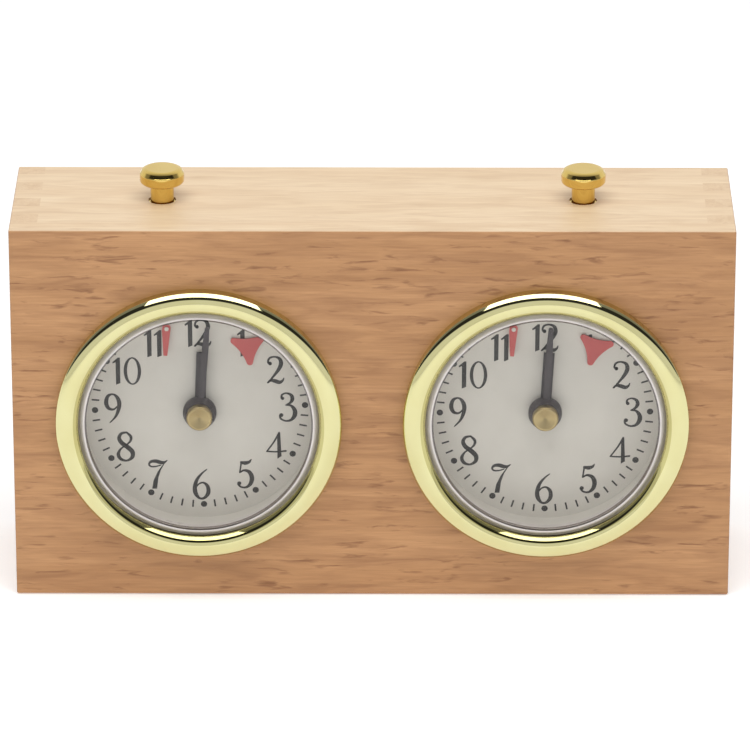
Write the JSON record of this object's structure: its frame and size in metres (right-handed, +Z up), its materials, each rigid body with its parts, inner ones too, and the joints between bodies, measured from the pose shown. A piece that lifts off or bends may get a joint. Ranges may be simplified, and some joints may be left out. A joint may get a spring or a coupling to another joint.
{
  "type": "chess clock",
  "caption": "Mechanical chess clock: a beech case holding two clockwork movements with round dials, and brass plungers on a rocking beam that stop one clock and free the other.",
  "frame": {"origin": "middle of the case's rectangular base, on the surface that it stands on", "axes": "+X to the right as seen from the dials, along the case's length; +Y from the dials to the back; +Z up"},
  "size_m": [0.205, 0.0568, 0.1217],
  "materials": {
    "beech": "satin lacquer over straight-grained beech",
    "plywood": "sanded beech plywood",
    "brass": "polished",
    "plate_brass": "satin rolled sheet",
    "steel": "satin",
    "zinc_steel": "zinc plated",
    "clear_acrylic": "clear, polished moulded plastic",
    "dial_silver": "pale satin lacquer, grey-black print",
    "hand_grey": "gunmetal grey, satin",
    "red_lacquer": "red lacquer, satin"
  },
  "bodies": {
    "case": {"case_top": "beech", "case_bottom": "beech", "left_side": "beech", "right_side": "beech", "front_panel": "beech", "rear_panel": "plywood", "corner_blocks": "beech", "wood_screws": "zinc_steel", "button_bushes": "brass", "rocker_bracket": "steel", "rocker_pin": "steel", "movement_pillars": "steel", "movement_front_plates": "plate_brass", "movement_back_plates": "plate_brass", "left_bezel": "brass", "left_crystal": "clear_acrylic", "left_dial": "dial_silver", "right_bezel": "brass", "right_crystal": "clear_acrylic", "right_dial": "dial_silver"},
    "rocker": {"rocker_beam": "steel", "brake_wires": "steel"},
    "left_plunger": {"left_button": "brass"},
    "right_plunger": {"right_button": "brass"},
    "left_minute": {"left_minute_arbor": "brass", "left_minute_hand": "hand_grey", "left_setting_knob": "brass"},
    "left_motion_wheel": {"left_minute_wheel": "plate_brass"},
    "left_hour": {"left_hour_wheel": "plate_brass", "left_hour_hand": "hand_grey"},
    "left_centre": {"left_centre_wheel": "plate_brass"},
    "left_third": {"left_third_wheel": "plate_brass"},
    "left_fourth": {"left_fourth_wheel": "plate_brass"},
    "left_escape": {"left_escape_wheel": "plate_brass", "left_tick_indicator": "red_lacquer"},
    "left_barrel": {"left_mainspring_barrel": "plate_brass"},
    "left_winding": {"left_winding_arbor": "steel", "left_winding_key": "brass"},
    "left_click_pawl": {"left_click": "steel"},
    "left_pallet": {"left_pallet_lever": "steel"},
    "left_balance": {"left_balance_wheel": "plate_brass"},
    "left_fall_flag": {"left_flag": "red_lacquer"},
    "right_minute": {"right_minute_arbor": "brass", "right_minute_hand": "hand_grey", "right_setting_knob": "brass"},
    "right_motion_wheel": {"right_minute_wheel": "plate_brass"},
    "right_hour": {"right_hour_wheel": "plate_brass", "right_hour_hand": "hand_grey"},
    "right_centre": {"right_centre_wheel": "plate_brass"},
    "right_third": {"right_third_wheel": "plate_brass"},
    "right_fourth": {"right_fourth_wheel": "plate_brass"},
    "right_escape": {"right_escape_wheel": "plate_brass", "right_tick_indicator": "red_lacquer"},
    "right_barrel": {"right_mainspring_barrel": "plate_brass"},
    "right_winding": {"right_winding_arbor": "steel", "right_winding_key": "brass"},
    "right_click_pawl": {"right_click": "steel"},
    "right_pallet": {"right_pallet_lever": "steel"},
    "right_balance": {"right_balance_wheel": "plate_brass"},
    "right_fall_flag": {"right_flag": "red_lacquer"}
  },
  "joints": [
    {"name": "rocker_tilt", "type": "hinge", "parent": "case", "child": "rocker", "pos_m": [0, -0.001, 0.095], "axis": [0, 1, 0], "range_deg": [-2.82, 2.82]},
    {"name": "left_button_travel", "type": "slide", "parent": "case", "child": "left_plunger", "axis": [0, 0, 1], "range_m": [-0.0031, 0.0031]},
    {"name": "right_button_travel", "type": "slide", "parent": "case", "child": "right_plunger", "axis": [0, 0, 1], "range_m": [-0.0031, 0.0031]},
    {"name": "left_minute_turn", "type": "hinge", "parent": "case", "child": "left_minute", "pos_m": [-0.0494, 0, 0.0537], "axis": [0, 1, 0], "continuous": true},
    {"name": "left_motion_wheel_turn", "type": "hinge", "parent": "case", "child": "left_motion_wheel", "pos_m": [-0.05564, 0, 0.0501], "axis": [0, 1, 0], "continuous": true},
    {"name": "left_hour_turn", "type": "hinge", "parent": "case", "child": "left_hour", "pos_m": [-0.0494, 0, 0.0537], "axis": [0, 1, 0], "continuous": true},
    {"name": "left_centre_turn", "type": "hinge", "parent": "case", "child": "left_centre", "pos_m": [-0.0494, 0, 0.0537], "axis": [0, 1, 0], "continuous": true},
    {"name": "left_third_turn", "type": "hinge", "parent": "case", "child": "left_third", "pos_m": [-0.05478, 0, 0.0647], "axis": [0, 1, 0], "continuous": true},
    {"name": "left_fourth_turn", "type": "hinge", "parent": "case", "child": "left_fourth", "pos_m": [-0.04479, 0, 0.06902], "axis": [0, 1, 0], "continuous": true},
    {"name": "left_escape_turn", "type": "hinge", "parent": "case", "child": "left_escape", "pos_m": [-0.0354, 0, 0.0731], "axis": [0, 1, 0], "continuous": true},
    {"name": "left_barrel_turn", "type": "hinge", "parent": "case", "child": "left_barrel", "pos_m": [-0.0494, 0, 0.0405], "axis": [0, 1, 0], "continuous": true},
    {"name": "left_winding_turn", "type": "hinge", "parent": "case", "child": "left_winding", "pos_m": [-0.0494, 0, 0.0405], "axis": [0, 1, 0], "continuous": true},
    {"name": "left_click_pawl_turn", "type": "hinge", "parent": "case", "child": "left_click_pawl", "pos_m": [-0.04094, 0, 0.04358], "axis": [0, 1, 0], "range_deg": [0, 12]},
    {"name": "left_pallet_turn", "type": "hinge", "parent": "case", "child": "left_pallet", "pos_m": [-0.03011, 0, 0.06723], "axis": [0, 1, 0], "range_deg": [-4, 4]},
    {"name": "left_balance_turn", "type": "hinge", "parent": "case", "child": "left_balance", "pos_m": [-0.03161, 0, 0.05502], "axis": [0, 1, 0], "range_deg": [-135, 135], "stiffness_Nm_per_rad": 0.000012},
    {"name": "left_fall_flag_turn", "type": "hinge", "parent": "case", "child": "left_fall_flag", "pos_m": [-0.0586, 0, 0.0793], "axis": [0, -1, 0], "range_deg": [-6, 80]},
    {"name": "right_minute_turn", "type": "hinge", "parent": "case", "child": "right_minute", "pos_m": [0.0494, 0, 0.0537], "axis": [0, 1, 0], "continuous": true},
    {"name": "right_motion_wheel_turn", "type": "hinge", "parent": "case", "child": "right_motion_wheel", "pos_m": [0.04316, 0, 0.0501], "axis": [0, 1, 0], "continuous": true},
    {"name": "right_hour_turn", "type": "hinge", "parent": "case", "child": "right_hour", "pos_m": [0.0494, 0, 0.0537], "axis": [0, 1, 0], "continuous": true},
    {"name": "right_centre_turn", "type": "hinge", "parent": "case", "child": "right_centre", "pos_m": [0.0494, 0, 0.0537], "axis": [0, 1, 0], "continuous": true},
    {"name": "right_third_turn", "type": "hinge", "parent": "case", "child": "right_third", "pos_m": [0.04402, 0, 0.0647], "axis": [0, 1, 0], "continuous": true},
    {"name": "right_fourth_turn", "type": "hinge", "parent": "case", "child": "right_fourth", "pos_m": [0.05401, 0, 0.06902], "axis": [0, 1, 0], "continuous": true},
    {"name": "right_escape_turn", "type": "hinge", "parent": "case", "child": "right_escape", "pos_m": [0.0634, 0, 0.0731], "axis": [0, 1, 0], "continuous": true},
    {"name": "right_barrel_turn", "type": "hinge", "parent": "case", "child": "right_barrel", "pos_m": [0.0494, 0, 0.0405], "axis": [0, 1, 0], "continuous": true},
    {"name": "right_winding_turn", "type": "hinge", "parent": "case", "child": "right_winding", "pos_m": [0.0494, 0, 0.0405], "axis": [0, 1, 0], "continuous": true},
    {"name": "right_click_pawl_turn", "type": "hinge", "parent": "case", "child": "right_click_pawl", "pos_m": [0.05786, 0, 0.04358], "axis": [0, 1, 0], "range_deg": [0, 12]},
    {"name": "right_pallet_turn", "type": "hinge", "parent": "case", "child": "right_pallet", "pos_m": [0.06869, 0, 0.06723], "axis": [0, 1, 0], "range_deg": [-4, 4]},
    {"name": "right_balance_turn", "type": "hinge", "parent": "case", "child": "right_balance", "pos_m": [0.06719, 0, 0.05502], "axis": [0, 1, 0], "range_deg": [-135, 135], "stiffness_Nm_per_rad": 0.000012},
    {"name": "right_fall_flag_turn", "type": "hinge", "parent": "case", "child": "right_fall_flag", "pos_m": [0.0402, 0, 0.0793], "axis": [0, -1, 0], "range_deg": [-6, 80]}
  ],
  "couplings": [
    {"joint": "left_button_travel", "follows": "rocker_tilt", "m_per_rad": 0.06},
    {"joint": "right_button_travel", "follows": "rocker_tilt", "m_per_rad": -0.06},
    {"joint": "left_motion_wheel_turn", "follows": "left_minute_turn", "ratio": -0.33333},
    {"joint": "left_hour_turn", "follows": "left_minute_turn", "ratio": 0.083333},
    {"joint": "left_barrel_turn", "follows": "left_centre_turn", "ratio": -0.17857},
    {"joint": "left_third_turn", "follows": "left_centre_turn", "ratio": -7.5},
    {"joint": "left_fourth_turn", "follows": "left_centre_turn", "ratio": 52.5},
    {"joint": "left_escape_turn", "follows": "left_centre_turn", "ratio": -367.5},
    {"joint": "right_motion_wheel_turn", "follows": "right_minute_turn", "ratio": -0.33333},
    {"joint": "right_hour_turn", "follows": "right_minute_turn", "ratio": 0.083333},
    {"joint": "right_barrel_turn", "follows": "right_centre_turn", "ratio": -0.17857},
    {"joint": "right_third_turn", "follows": "right_centre_turn", "ratio": -7.5},
    {"joint": "right_fourth_turn", "follows": "right_centre_turn", "ratio": 52.5},
    {"joint": "right_escape_turn", "follows": "right_centre_turn", "ratio": -367.5}
  ]
}
